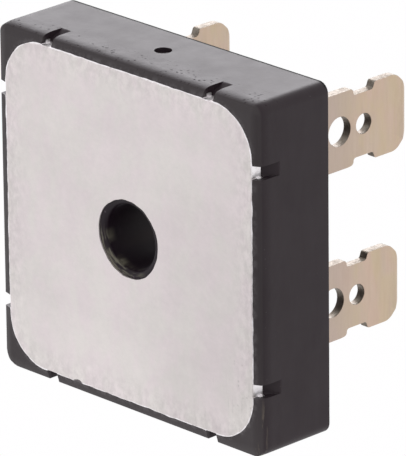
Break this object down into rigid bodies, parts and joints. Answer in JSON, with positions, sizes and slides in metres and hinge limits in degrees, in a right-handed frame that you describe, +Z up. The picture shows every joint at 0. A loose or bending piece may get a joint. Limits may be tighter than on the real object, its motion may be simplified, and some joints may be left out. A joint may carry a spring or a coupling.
{
  "type": "bridge rectifier",
  "caption": "Single-phase bridge rectifier in a square moulded case with a metal base plate, a central screw hole and push-on tab terminals.",
  "frame": {"origin": "on the axis of the screw hole, in the plane of the base plate's bare face", "axes": "+Y from the base plate's bare face towards the terminal tabs, along the screw hole; +Z up, towards the side of the case that carries the gate mark; +X to the right of someone looking at the base plate"},
  "size_m": [0.0286, 0.0207, 0.0286],
  "materials": {
    "plate_metal": "satin",
    "case_resin": "satin",
    "tinned_copper": "satin",
    "ceramic": "matte",
    "adhesive": "satin",
    "silicon": "gloss",
    "solder": "satin"
  },
  "bodies": {
    "root": {"base_plate": "plate_metal", "moulded_case": "case_resin", "plate_bond": "adhesive", "ceramic_insulator": "ceramic", "terminal_bond_left": "adhesive", "terminal_bond_right": "adhesive", "ac_terminal_left": "tinned_copper", "ac_terminal_right": "tinned_copper", "plus_terminal": "tinned_copper", "minus_terminal": "tinned_copper", "diode_chip_1": "silicon", "diode_chip_2": "silicon", "diode_chip_3": "silicon", "diode_chip_4": "silicon", "lower_solder_1": "solder", "lower_solder_2": "solder", "lower_solder_3": "solder", "lower_solder_4": "solder", "upper_solder_1": "solder", "upper_solder_2": "solder", "upper_solder_3": "solder", "upper_solder_4": "solder"}
  },
  "joints": []
}
